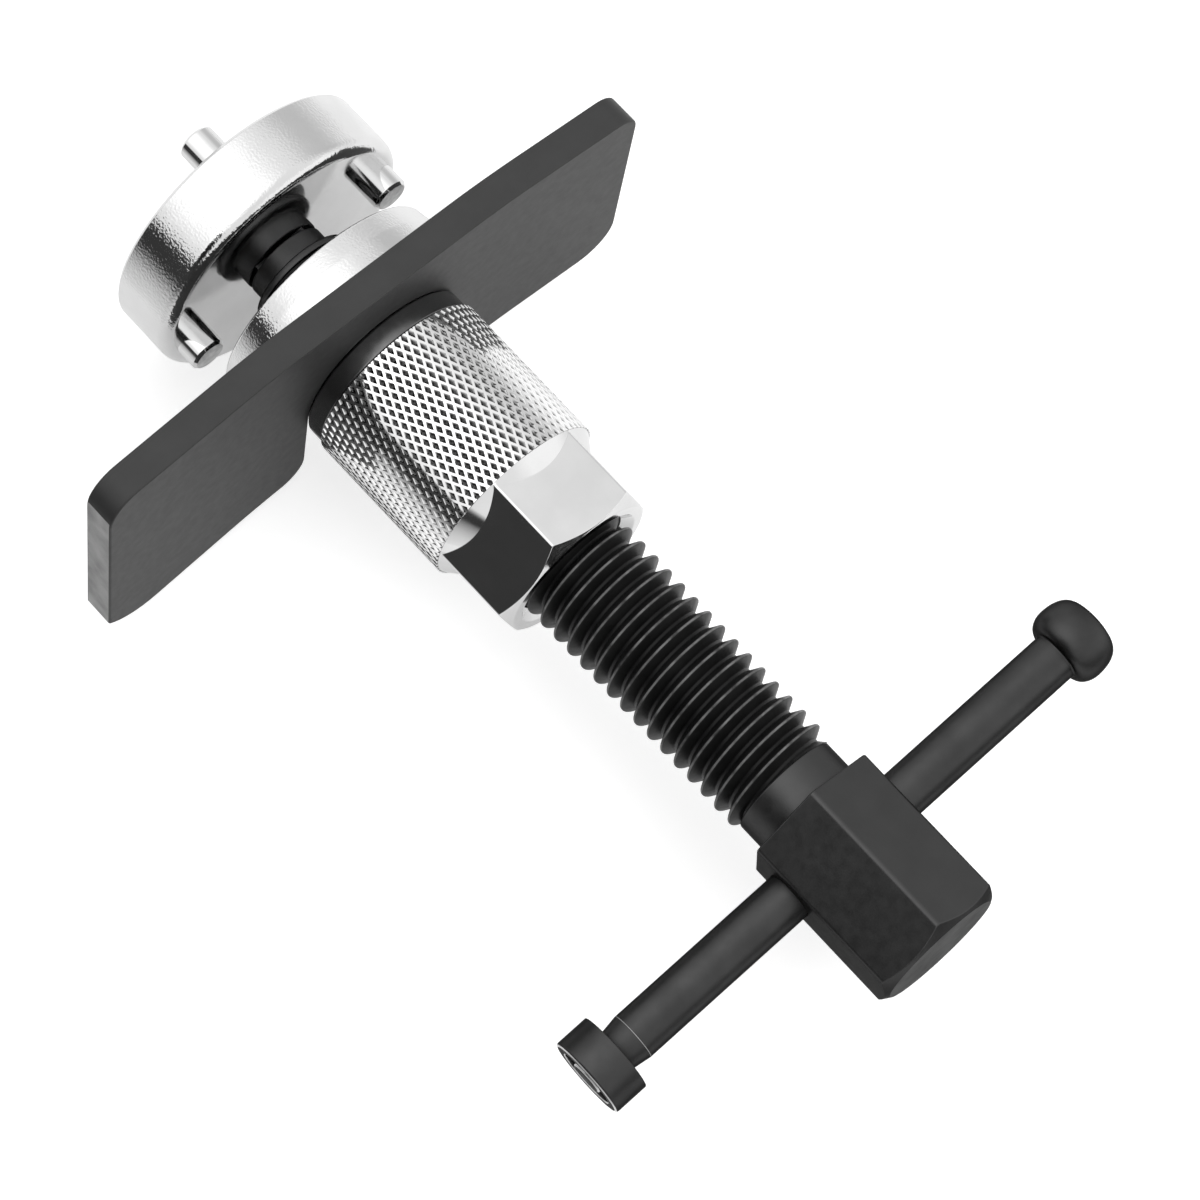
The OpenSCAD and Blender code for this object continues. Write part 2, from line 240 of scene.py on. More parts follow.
# Tommy bar and its cap
BAR_R = 4.0
TAPER_R = 3.5
TAPER_LEN = 3.4
SEAM_W = 0.1
RIVET_R = 2.8
RIVET_EDGE_DEPTH = 0.35
RIVET_EDGE_W = 0.4
CAP_INNER = -46.0
CAP_LEN = 5.9
CAP_ROUND = 0.5
CAP_INNER_ROUND = 0.12
CAP_EDGE_W = 0.6
BAR_END = CAP_INNER - CAP_LEN
RECESS_R = (CAP_R + RIVET_R) / 2
RECESS_DEPTH = 0.6
LIP_ABOVE = 0.1
LIP_DEPTH = 0.2
LIP_W = 0.3
KNOB_START = 44.0
KNOB_LEN = 7.8
SHOULDER_R = 4.6
SHOULDER_ROUND = 0.4
KNOB_BELLY = 3.0
KNOB_FULLNESS = 0.36
KNOB_STEPS = 12

# Bands of a noise that are spread over a finish's whole range
BROAD_BAND = (0.35, 0.7)
EVEN_BAND = (0.3, 0.7)

# Furthest distance from the screw axis that a finish measures, in millimetres
AXIS_REACH = 100

# Sockets of a Mix node that hold its two colours and their mix
COLOUR_A = 6
COLOUR_B = 7
COLOUR_OUT = 2

# Studio, in metres: strengths of the world and of the floor, and the camera of the photograph's view
WORLD_FILL = 0.55
FLOOR_GLOW = 0.68
FLOOR_GLOSS = 0.4
FLOOR_SHADE = 0.6
FLOOR_R = 8
FLOOR_STEPS = 64
CARD_SOFT = 0.14
SENSOR_W = 36
LENS = 129.06
CLIP_START = 0.01
CAMERA_PLACE = (-0.221834, -0.233644, 0.599468)
CAMERA_RIGHT = (0.734, -0.67081, 0.10607)
CAMERA_UP = (0.5897, 0.70699, 0.39041)
CAMERA_BACK = (-0.33688, -0.22401, 0.91451)

# Places a piece that is drawn along z on the bar's axis, square through the flats of the head
ON_BAR = (Matrix.Rotation(HEAD_TURN, 4, "Z") @ Matrix.Translation((0, 0, BAR_Z))
          @ Matrix.Rotation(math.radians(90), 4, "Y"))


# Mesh helpers

def even_angles(steps):
    """Angles of one turn, evenly spaced."""
    return [TURN * k / steps for k in range(steps)]


def rounded(outline, closed=True):
    """Points of an outline whose corners, given as (a, b, radius), are turned into arcs."""
    points = []
    count = len(outline)
    for i, (a, b, radius) in enumerate(outline):
        here = Vector((a, b))
        at_end = not closed and i in (0, count - 1)
        if not radius or at_end:
            points.append(here)
            continue
        to_last = Vector(outline[i - 1][:2]) - here
        to_next = Vector(outline[(i + 1) % count][:2]) - here
        half = to_last.angle(to_next) / 2
        back = min(radius / math.tan(half), ARC_SHARE * to_last.length, ARC_SHARE * to_next.length)
        start = here + to_last.normalized() * back
        end = here + to_next.normalized() * back
        centre = here + (to_last.normalized() + to_next.normalized()).normalized() * back / math.cos(half)
        first = math.atan2(*(start - centre).yx)
        sweep = math.atan2(*(end - centre).yx) - first
        sweep = (sweep + math.pi) % TURN - math.pi
        size = (start - centre).length
        steps = ARC_STEPS + int(ARC_STEPS_PER_ROOT * math.sqrt(radius))
        for k in range(steps + 1):
            turn = first + sweep * k / steps
            points.append(centre + size * Vector((math.cos(turn), math.sin(turn))))
    return points


def turned(section, angles):
    """Solid of half sections round z: section is one closed outline, or a function of the angle."""
    mesh = bmesh.new()
    rings = []
    for angle in angles:
        outline = section(angle) if callable(section) else section
        ring = [mesh.verts.new((r * math.cos(angle), r * math.sin(angle), z)) for r, z in rounded(outline)]
        rings.append(ring)
    for ring, after in zip(rings, rings[1:] + rings[:1]):
        for k in range(len(ring)):
            mesh.faces.new((ring[k - 1], after[k - 1], after[k], ring[k]))
    bmesh.ops.remove_doubles(mesh, verts=mesh.verts, dist=WELD)
    bmesh.ops.dissolve_degenerate(mesh, edges=mesh.edges, dist=NOTHING)
    return mesh


def rod(radius, low, high, steps):
    """Plain round rod along z."""
    return turned([(0, low, 0), (radius, low, 0), (radius, high, 0), (0, high, 0)], even_angles(steps))


def cut_square(mesh, low, high):
    """Cuts a mesh off at two places along z and closes the ends."""
    for place, side in ((low, -1), (high, 1)):
        geometry = mesh.verts[:] + mesh.edges[:] + mesh.faces[:]
        bmesh.ops.bisect_plane(
            mesh, geom=geometry, plane_co=(0, 0, place), plane_no=(0, 0, side), clear_outer=True)
        ends = [edge for edge in mesh.edges if edge.is_boundary]
        rim = [edge for edge in ends if abs(edge.verts[0].co.z - place) < ON_PLANE]
        bmesh.ops.holes_fill(mesh, edges=rim, sides=0)


def hex_radius(angle, across, turn, corner):
    """Distance of a hexagon's outline from its centre, with its corners rounded."""
    inner = across / 2
    step = TURN / 6
    from_flat = (angle - turn + step / 2) % step - step / 2
    from_corner = step / 2 - abs(from_flat)
    centre = (inner - corner) / math.cos(step / 2)
    tangent = math.atan2(corner / 2, centre + corner * math.cos(step / 2))
    if from_corner >= tangent:
        return inner / math.cos(from_flat)
    return centre * math.cos(from_corner) + math.sqrt(corner ** 2 - (centre * math.sin(from_corner)) ** 2)


def hex_angles(across, turn, corner):
    """Angles for a hexagon, closer together round its corners."""
    step = TURN / 6
    tangent = math.atan2(corner / 2, across / 2 / math.cos(step / 2))
    near = [tangent * k / CORNER_STEPS for k in range(CORNER_STEPS + 1)]
    far = [tangent + (step / 2 - tangent) * k / FLAT_STEPS for k in range(1, FLAT_STEPS + 1)]
    offsets = near + far
    offsets += [step - offset for offset in reversed(offsets[1:-1])]
    return [turn + step / 2 + side * step + offset for side in range(6) for offset in offsets]


def square_radius(angle, width, turn):
    """Distance of a square's outline from its centre."""
    local = angle - turn
    return width / 2 / max(abs(math.cos(local)), abs(math.sin(local)))


def piece(name, mesh, body, slot, material, *nodes, place=None, sharp=32):
    """Makes a piece of a mesh that is drawn in millimetres, on a body, and hides the nodes it stands for.

    Edges that turn by more than sharp, in degrees, stay sharp.
    """
    bmesh.ops.recalc_face_normals(mesh, faces=mesh.faces)
    mesh.transform(TOOL @ place if place else TOOL)
    data = bpy.data.meshes.new(name)
    mesh.to_mesh(data)
    mesh.free()
    data.shade_smooth()
    data.set_sharp_from_angle(angle=math.radians(sharp))
    data.materials.append(material)
    thing = bpy.data.objects.new(name, data)
    bpy.context.scene.collection.objects.link(thing)
    weighted = thing.modifiers.new("flat faces", "WEIGHTED_NORMAL")
    weighted.keep_sharp = True
    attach(thing, body)
    if nodes:
        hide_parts(*nodes)
    return thing


def coat(thing, material, chosen):
    """Gives a further material to the faces that a test on the face chooses."""
    thing.data.materials.append(material)
    for face in thing.data.polygons:
        if chosen(face):
            face.material_index = len(thing.data.materials) - 1


def drill(thing, cutter_mesh):
    """Cuts the shape of another mesh, in millimetres, out of a piece."""
    bmesh.ops.recalc_face_normals(cutter_mesh, faces=cutter_mesh.faces)
    cutter_mesh.transform(TOOL)
    data = bpy.data.meshes.new("cutter")
    cutter_mesh.to_mesh(data)
    cutter_mesh.free()
    cutter = bpy.data.objects.new("cutter", data)
    bpy.context.scene.collection.objects.link(cutter)
    weighted = thing.modifiers["flat faces"]
    weighted.show_viewport = False
    boolean = thing.modifiers.new("hole", "BOOLEAN")
    boolean.object = cutter
    boolean.solver = "EXACT"
    bpy.context.view_layer.update()
    depsgraph = bpy.context.evaluated_depsgraph_get()
    result = bpy.data.meshes.new_from_object(thing.evaluated_get(depsgraph))
    thing.modifiers.remove(boolean)
    weighted.show_viewport = True
    thing.data = result
    bpy.data.objects.remove(cutter)


# Materials

class Finish:
    """A material with its nodes, and short calls to add to them."""

    def __init__(self, name, colour, roughness, metallic=0.0):
        self.material = bpy.data.materials.new(name)
        self.material.use_nodes = True
        self.nodes = self.material.node_tree.nodes
        self.links = self.material.node_tree.links
        self.shader = self.nodes["Principled BSDF"]
        self.shader.inputs["Base Color"].default_value = (*colour, 1)
        self.shader.inputs["Roughness"].default_value = roughness
        self.shader.inputs["Metallic"].default_value = metallic
        self.place = self.nodes.new("ShaderNodeTexCoord").outputs["Object"]

    def add(self, kind, **sockets):
        """Adds a node, with some of its inputs set or linked."""
        node = self.nodes.new(kind)
        for key, value in sockets.items():
            socket = node.inputs[key.replace("_", " ")]
            if isinstance(value, bpy.types.NodeSocket):
                self.links.new(value, socket)
            else:
                socket.default_value = value
        return node

    def noise(self, size, detail):
        """Noise with features of a size in millimetres, as a value from 0 to 1."""
        scaled = self.add("ShaderNodeMapping", Vector=self.place, Scale=[1 / (size * MM)] * 3)
        return self.add("ShaderNodeTexNoise", Vector=scaled.outputs[0], Scale=1.0, Detail=detail).outputs[0]

    def between(self, value, low, high, out_low, out_high):
        """A value mapped from one range to another, and kept in it."""
        node = self.nodes.new("ShaderNodeMapRange")
        self.links.new(value, node.inputs[0])
        for socket, number in zip(node.inputs[1:5], (low, high, out_low, out_high)):
            socket.default_value = number
        return node.outputs[0]

    def cloud(self, size, detail, band, low=0, high=1):
        """Noise of a size in millimetres, with one band of it spread over a range."""
        return self.between(self.noise(size, detail), *band, low, high)

    def product(self, one, other):
        """Two values multiplied."""
        node = self.nodes.new("ShaderNodeMath")
        node.operation = "MULTIPLY"
        self.links.new(one, node.inputs[0])
        self.links.new(other, node.inputs[1])
        return node.outputs[0]

    def shade(self, value, dark, light):
        """Base colour that goes from dark, a colour or a socket, to light with a value."""
        ramp = self.nodes.new("ShaderNodeMix")
        ramp.data_type = "RGBA"
        self.links.new(value, ramp.inputs["Factor"])
        if isinstance(dark, bpy.types.NodeSocket):
            self.links.new(dark, ramp.inputs[COLOUR_A])
        else:
            ramp.inputs[COLOUR_A].default_value = (*dark, 1)
        ramp.inputs[COLOUR_B].default_value = (*light, 1)
        self.links.new(ramp.outputs[COLOUR_OUT], self.shader.inputs["Base Color"])

    def rough(self, value):
        """Roughness from a value."""
        self.links.new(value, self.shader.inputs["Roughness"])

    def bump(self, height, depth):
        """Surface relief of a height from 0 to 1, with its depth in millimetres."""
        node = self.add("ShaderNodeBump", Height=height, Distance=depth * MM, Strength=1.0)
        last = self.shader.inputs["Normal"]
        if last.is_linked:
            self.links.new(last.links[0].from_socket, node.inputs["Normal"])
        self.links.new(node.outputs[0], last)

    def axis_distance(self):
        """Distance from the screw axis, in millimetres."""
        parts = self.add("ShaderNodeSeparateXYZ", Vector=self.place).outputs
        flat = self.add("ShaderNodeCombineXYZ", X=parts[0], Z=parts[2])
        length = self.nodes.new("ShaderNodeVectorMath")
        length.operation = "LENGTH"
        self.links.new(flat.outputs[0], length.inputs[0])
        return self.between(length.outputs["Value"], 0, AXIS_REACH * MM, 0, AXIS_REACH)


def grey(value):
    """Colour with three equal parts."""
    return (value, value, value)


def black_oxide(name, shade, rough, gloss=0.35):
    """Blackened steel: mottled, with a satin sheen and a fine grain."""
    dark, light = shade
    finish = Finish(name, grey(dark), rough[0])
    finish.shader.inputs["Specular IOR Level"].default_value = gloss
    finish.shade(finish.cloud(5, 5, BROAD_BAND), grey(dark), grey(light))
    finish.rough(finish.cloud(1.6, 6, EVEN_BAND, *rough))
    finish.bump(finish.noise(0.16, 3), depth=0.006)
    return finish


def dark_metal(name, shade):
    """Steel under a thin black oxide, which stays dark towards its edges."""
    finish = black_oxide(name, shade, rough=(0.36, 0.44))
    finish.shader.inputs["Metallic"].default_value = 1.0
    finish.shader.inputs["Specular Tint"].default_value = (*grey(0.3), 1)
    return finish.material


def bright_plating(name, rough):
    """Bright plated steel with faint cloudiness."""
    finish = Finish(name, grey(0.72), rough[0], metallic=1.0)
    finish.shade(finish.cloud(7, 4, BROAD_BAND), grey(0.7), grey(0.75))
    finish.rough(finish.cloud(2.5, 5, EVEN_BAND, *rough))
    return finish


def knurl_plating():
    """Plated knurl, with a painted highlight on its ridges and painted shade in the diamonds between them."""
    finish = bright_plating("plated knurl", rough=(0.05, 0.11))
    low = KNURL_R - KNURL_SHADE_SHARE * KNURL_DEPTH
    high = KNURL_R - KNURL_HIGHLIGHT_SHARE * KNURL_DEPTH
    # Base colour by depth: painted shade deep in the diamonds, painted highlight on the ridges.
    finish.shade(finish.between(finish.axis_distance(), low, high, 0, 1), grey(0.05), grey(0.87))
    return finish.material


def screw_steel():
    """Blackened screw, with the oxide rubbed off its crests."""
    finish = black_oxide("blackened screw", shade=(0.006, 0.011), rough=(0.32, 0.44), gloss=0.16)
    rub = finish.between(finish.axis_distance(), SCREW_R - RUB_START, SCREW_R - RUB_FULL, 0, 1)
    blotch = finish.cloud(2.2, 4, (0.3, 0.65), 0.1, 0.75)
    oxide = finish.shader.inputs["Base Color"].links[0].from_socket
    finish.shade(finish.product(rub, blotch), oxide, grey(0.2))
    return finish.material


def forged_plating(name, rim_r):
    """Plated forging: smooth faces, and an orange-peel rim of some radius."""
    finish = bright_plating(name, rough=(0.06, 0.12))
    rim = finish.between(finish.axis_distance(), rim_r - PEEL_START, rim_r - PEEL_FULL, 0, 1)
    finish.bump(finish.product(finish.noise(0.4, 1), rim), depth=0.045)
    return finish.material


def plate_paint():
    """Satin blackened plate, nearly even, with a fine grain."""
    finish = black_oxide("satin blackened plate", shade=(0.024, 0.028), rough=(0.46, 0.52))
    finish.bump(finish.noise(0.3, 3), depth=0.004)
    return finish.material


def sheared_edge_and_seam_highlight():
    """Sheared ends of the plate, paler and grainy, and a painted highlight in the same colour on the seam of
    the bar.
    """
    finish = black_oxide("sheared edge and painted seam highlight", shade=(0.24, 0.42), rough=(0.5, 0.62))
    finish.bump(finish.noise(0.4, 4), depth=0.05)
    return finish.material


def ring_rubber():
    """Smooth black rubber."""
    finish = Finish("black rubber", grey(0.012), 0.2)
    finish.shader.inputs["Specular IOR Level"].default_value = 1.0
    finish.shader.inputs["IOR"].default_value = 1.7
    finish.shade(finish.cloud(3, 3, EVEN_BAND), grey(0.009), grey(0.016))
    finish.rough(finish.cloud(1.2, 3, EVEN_BAND, 0.16, 0.24))
    return finish.material


def cut_steel():
    """Cut and plated end of a pin: duller than the turned side."""
    finish = Finish("cut pin end", grey(0.5), 0.4, metallic=1.0)
    finish.shade(finish.cloud(1.2, 4, EVEN_BAND), grey(0.5), grey(0.8))
    finish.bump(finish.noise(0.3, 3), depth=0.02)
    return finish.material


def worn_edge():
    """Edge that is rubbed down to the bare steel."""
    finish = Finish("rubbed edge", grey(0.5), 0.3, metallic=1.0)
    finish.shade(finish.cloud(3, 4, EVEN_BAND), grey(0.4), grey(0.75))
    return finish.material


SCREW_STEEL = screw_steel()
BLACK_STEEL = dark_metal("blackened steel", shade=(0.07, 0.076))
BAR_STEEL = dark_metal("blackened bar", shade=(0.056, 0.068))
HEAD_END = dark_metal("rubbed head end", shade=(0.11, 0.17))
PLATE_PAINT = plate_paint()
PALE_EDGE_AND_SEAM_HIGHLIGHT = sheared_edge_and_seam_highlight()
CHROME = bright_plating("bright plating", rough=(0.05, 0.11)).material
KNURL_CHROME = knurl_plating()
DISC_PLATING = forged_plating("plated disc", DISC_R)
COLLAR_PLATING = forged_plating("plated collar", COLLAR_R)
RUBBER = ring_rubber()
NICKEL = bright_plating("nickel", rough=(0.2, 0.32)).material
CUT_STEEL = cut_steel()
WORN_EDGE = worn_edge()


# Forcing screw

def thread_mesh():
    """Helical thread with rounded crests and roots, tapered and cut square at both ends."""
    root_r = SCREW_R - THREAD_DEPTH
    crest = CREST_W / 2
    foot = crest + THREAD_DEPTH * math.tan(THREAD_FLANK)
    outline = [(-PITCH / 2, root_r, 0), (-foot, root_r, ROOT_FILLET), (-crest, SCREW_R, CREST_FILLET),
               (crest, SCREW_R, CREST_FILLET), (foot, root_r, ROOT_FILLET), (PITCH / 2, root_r, 0)]
    profile = rounded(outline, closed=False)[:-1]
    turns = math.ceil((SHANK_Z - THREAD_Z) / PITCH) + 2 * SPARE_TURNS
    start = CREST_Z - PITCH * (math.ceil((CREST_Z - THREAD_Z) / PITCH) + SPARE_TURNS)
    mesh = bmesh.new()
    lines = []
    for step in range(turns * THREAD_STEPS):
        angle = CREST_ANGLE + TURN * step / THREAD_STEPS
        line = []
        for offset, r in profile:
            z = start + offset + PITCH * step / THREAD_STEPS
            front_lead = root_r + THREAD_LEAD + LEAD_SLOPE * (z - THREAD_Z)
            rear_lead = SHANK_R - THREAD_LEAD + (SHANK_Z - z)
            lead = max(root_r, min(r, front_lead, rear_lead))
            line.append(mesh.verts.new((lead * math.cos(angle), lead * math.sin(angle), z)))
        lines.append(line)
    for step, line in enumerate(lines[:-1]):
        after = lines[step + 1]
        for k in range(len(line) - 1):
            mesh.faces.new((line[k], after[k], after[k + 1], line[k + 1]))
        next_turn = step + THREAD_STEPS
        if next_turn + 1 < len(lines):
            mesh.faces.new((line[-1], after[-1], lines[next_turn + 1][0], lines[next_turn][0]))
    cut_square(mesh, THREAD_Z, SHANK_Z)
    return mesh


def head_section(angle):
    """Half section of the hex head, with its chamfered end."""
    r = hex_radius(angle, HEAD_AF, HEAD_TURN, HEAD_CORNER)
    edge = SCREW_REAR - (r - HEAD_END_R) * HEX_CHAMFER
    return [(0, HEAD_Z, 0), (r, HEAD_Z, EDGE_ROUND), (r, edge, SMALL_ROUND),
            (HEAD_END_R, SCREW_REAR, FINE_ROUND), (0, SCREW_REAR, 0)]


def tang_mesh():
    """Square tang with a recess for the magnet in its end."""
    pocket_r = MAGNET_R + PRESS_GAP

    def section(angle):
        r = square_radius(angle, TANG_W, DISC_TURN)
        return [(0, MAGNET_REAR, 0), (pocket_r, MAGNET_REAR, 0), (pocket_r, SCREW_FRONT, HAIR_ROUND),
                (r, SCREW_FRONT, TANG_ROUND), (r, NOSE_Z, 0), (0, NOSE_Z, 0)]

    return turned(section, [DISC_TURN + angle for angle in even_angles(MEDIUM_STEPS)])


def make_screw():
    """Thread, shank, head with the bar's hole, nose and tang."""
    piece("screw_thread", thread_mesh(), "screw", "black_steel", SCREW_STEEL, "forcing_screw", sharp=70)
    shank_front = SHANK_Z - SHANK_IN_THREAD
    shank_rear = HEAD_Z + SHANK_IN_HEAD
    shank = [(0, shank_front, 0), (SHANK_R, shank_front, SHANK_ROUND), (SHANK_R, shank_rear, 0),
             (0, shank_rear, 0)]
    piece("screw_shank", turned(shank, even_angles(LARGE_STEPS)), "screw", "black_steel", BLACK_STEEL)
    head = turned(head_section, hex_angles(HEAD_AF, HEAD_TURN, HEAD_CORNER))
    head = piece("screw_head", head, "screw", "black_steel", BLACK_STEEL)
    hole = rod(BAR_HOLE_R, -HEAD_AF, HEAD_AF, SMALL_STEPS)
    hole.transform(ON_BAR)
    drill(head, hole)
    coat(head, HEAD_END, lambda face: face.normal.y < -HEAD_END_FACING)
    nose = [(0, NOSE_Z, 0), (NOSE_R, NOSE_Z, EDGE_ROUND), (NOSE_R, NOSE_COLLAR_Z, EDGE_ROUND),
            (NOSE_COLLAR_R, NOSE_COLLAR_Z, NOSE_STEP_ROUND), (NOSE_COLLAR_R, THREAD_Z, FINE_ROUND),
            (0, THREAD_Z, 0)]
    piece("screw_nose", turned(nose, even_angles(LARGE_STEPS)), "screw", "black_steel", BLACK_STEEL)
    piece("screw_tang", tang_mesh(), "screw", "black_steel", BLACK_STEEL)


def make_magnet():
    """Magnet in the end of the tang."""
    section = [(0, MAGNET_FRONT, 0), (MAGNET_R, MAGNET_FRONT, SMALL_ROUND), (MAGNET_R, MAGNET_REAR, 0),
               (0, MAGNET_REAR, 0)]
    piece("magnet_disc", turned(section, even_angles(SMALL_STEPS)), "tip", "magnet", NICKEL, "tip_magnet")


# Adaptor disc and its pins

def make_disc():
    """Disc with a square socket, a chamfered front edge and a rounded rear edge."""
    def section(angle):
        hole = square_radius(angle, SOCKET_W, DISC_TURN)
        return [(hole, DISC_FRONT, EDGE_ROUND), (DISC_R - DISC_CHAMFER, DISC_FRONT, EDGE_ROUND),
                (DISC_R, DISC_FRONT + DISC_CHAMFER, EDGE_ROUND), (DISC_R, DISC_REAR, DISC_ROUND),
                (hole, DISC_REAR, EDGE_ROUND)]

    angles = [DISC_TURN + angle for angle in even_angles(DISC_STEPS)]
    piece("disc_body", turned(section, angles), "adaptor", "disc_plating", DISC_PLATING, "adaptor_disc")


def make_pin(node, seat):
    """Drive pin over its node, standing on the disc's face at the place seat."""
    low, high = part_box(node)
    centre = (low + high) / 2 / MM
    r = (high.x - low.x) / MM / 2
    stem_r = r - PIN_STEP
    front, rear = along(node)
    tip = rear if rear > DISC_REAR else front
    out = 1 if tip > seat else -1
    root = seat - PIN_SUNK * out
    section = [(0, root, 0), (stem_r, root, 0), (stem_r, seat, 0), (r, seat, 0),
               (r, tip - PIN_CHAMFER * out, HAIR_ROUND), (r - PIN_CHAMFER, tip, HAIR_ROUND), (0, tip, 0)]
    place = Matrix.Translation((centre.x, centre.z, 0))
    peg = piece(node.replace("_pin", "_peg"), turned(section, even_angles(SMALL_STEPS)), "adaptor",
                "bright_plating", CHROME, node, place=place)
    coat(peg, CUT_STEEL, lambda face: abs(face.normal.y) > PIN_END_FACING)


# Drive nut

def knurl_mesh():
    """Sleeve with a net of two families of helical ridges, and sunk diamonds between them."""
    half_turn = TURN / KNURL_COUNT / 2
    half_rise = KNURL_STEP / 2
    rows = math.ceil((CONE_Z - KNURL_Z) / half_rise) + 2
    mesh = bmesh.new()
    crossings = {}

    def spot(column, row, r):
        """New vertex at a place of the net."""
        angle = column * half_turn
        return mesh.verts.new((r * math.cos(angle), r * math.sin(angle), KNURL_Z + row * half_rise))

    def crossing(column, row):
        """Vertex where two ridges cross."""
        key = (column % (2 * KNURL_COUNT), row)
        if key not in crossings:
            crossings[key] = spot(column, row, KNURL_R)
        return crossings[key]

    sides = ((1, 0), (0, 1), (-1, 0), (0, -1))
    for row in range(-1, rows):
        for column in range(row % 2, 2 * KNURL_COUNT, 2):
            outer = [crossing(column + across, row + up) for across, up in sides]
            for share, depth in KNURL_LEVELS:
                r = KNURL_R - depth * KNURL_DEPTH
                inner = [spot(column + share * across, row + share * up, r) for across, up in sides]
                for k in range(4):
                    mesh.faces.new((outer[k - 1], outer[k], inner[k], inner[k - 1]))
                outer = inner
            mesh.faces.new(outer)
    cut_square(mesh, KNURL_START, CONE_Z)
    return mesh


def nut_section(angle):
    """Half section of the nut's cone and hex, with its chamfered and countersunk end."""
    r = hex_radius(angle, NUT_AF, NUT_TURN, NUT_CORNER)
    cone_end = CONE_Z + CONE_LEN * (KNURL_R - r) / (KNURL_R - NUT_AF / 2)
    edge = NUT_REAR - max(r - NUT_END_R, NUT_LEAST_CHAMFER) * HEX_CHAMFER
    end_r = min(r - NUT_LEAST_CHAMFER, NUT_END_R)
    return [(NUT_BORE_R, CONE_Z, 0), (KNURL_R - CONE_STEP, CONE_Z, 0), (r, cone_end, EDGE_ROUND),
            (r, edge, FINE_ROUND), (end_r, NUT_REAR, FINE_ROUND),
            (NUT_BORE_R + COUNTERSINK, NUT_REAR, FINE_ROUND), (NUT_BORE_R, NUT_REAR - COUNTERSINK, 0)]


def make_nut():
    """Knurled sleeve, hex and neck, all with the screw's bore."""
    knurl = piece("knurl_sleeve", knurl_mesh(), "nut", "bright_plating", KNURL_CHROME, "drive_nut", sharp=40)
    drill(knurl, rod(NUT_BORE_R, 0, SCREW_REAR, MEDIUM_STEPS))
    hexagon = turned(nut_section, hex_angles(NUT_AF, NUT_TURN, NUT_CORNER))
    piece("nut_hex", hexagon, "nut", "bright_plating", CHROME)
    neck = [(NUT_BORE_R, NUT_FRONT, 0), (SPIGOT_R, NUT_FRONT, 0), (SPIGOT_R, COLLAR_REAR, 0),
            (NECK_R, COLLAR_REAR, FINE_ROUND), (NECK_R, KNURL_START, 0), (NUT_BORE_R, KNURL_START, 0)]
    piece("nut_neck", turned(neck, even_angles(LARGE_STEPS)), "nut", "bright_plating", CHROME)


def make_collar():
    """Short collar on the nut's spigot, crowned towards its front edge."""
    bore_r = SPIGOT_R + PRESS_GAP
    section = [(bore_r, COLLAR_EDGE, EDGE_ROUND), (COLLAR_R - COLLAR_TAPER, COLLAR_EDGE, COLLAR_FRONT_ROUND),
               (COLLAR_R, COLLAR_EDGE + COLLAR_CROWN, COLLAR_CROWN), (COLLAR_R, COLLAR_REAR, SMALL_ROUND),
               (bore_r, COLLAR_REAR, 0)]
    piece("collar_band", turned(section, even_angles(COLLAR_STEPS)), "nut", "bright_plating",
          COLLAR_PLATING, "thrust_collar")


def make_ring():
    """Black ring between the plate and the knurl."""
    section = [(RING_BORE_R, RING_FRONT, FINE_ROUND), (RING_R, RING_FRONT, EDGE_ROUND),
               (RING_R, RING_BACK, RING_BACK_ROUND), (RING_BORE_R, RING_BACK, FINE_ROUND)]
    piece("ring_band", turned(section, even_angles(COLLAR_STEPS)), "ring", "black_rubber", RUBBER,
          "spacer_ring")


# Reaction plate

def plate_back(x):
    """How far the plate sweeps back at a distance from the screw axis, over soft bends."""
    past = (abs(x) - PLATE_BEND) / BEND_SPREAD
    if past <= -1:
        return 0.0
    if past >= 1:
        return PLATE_SWEEP * past * BEND_SPREAD
    return PLATE_SWEEP * BEND_SPREAD * (past + 1) ** 2 / 4


def plate_low(x):
    """Height of the plate's lower edge at a place along it."""
    return x * math.tan(PLATE_SLOPE) - PLATE_BOTTOM


def lower_left_curve():
    """Curve from the plate's left end to its lower edge, with a sharp corner at the end."""
    centre_x = LOWER_LEFT_LEN - PLATE_LEFT
    centre_y = plate_low(centre_x) + LOWER_LEFT_R / math.cos(PLATE_SLOPE)
    first = -math.pi / 2 - math.asin(LOWER_LEFT_LEN / LOWER_LEFT_R)
    last = PLATE_SLOPE - math.pi / 2
    turns = [first + (last - first) * k / LOWER_LEFT_STEPS for k in range(LOWER_LEFT_STEPS + 1)]
    return [(centre_x + LOWER_LEFT_R * math.cos(t), centre_y + LOWER_LEFT_R * math.sin(t), 0) for t in turns]


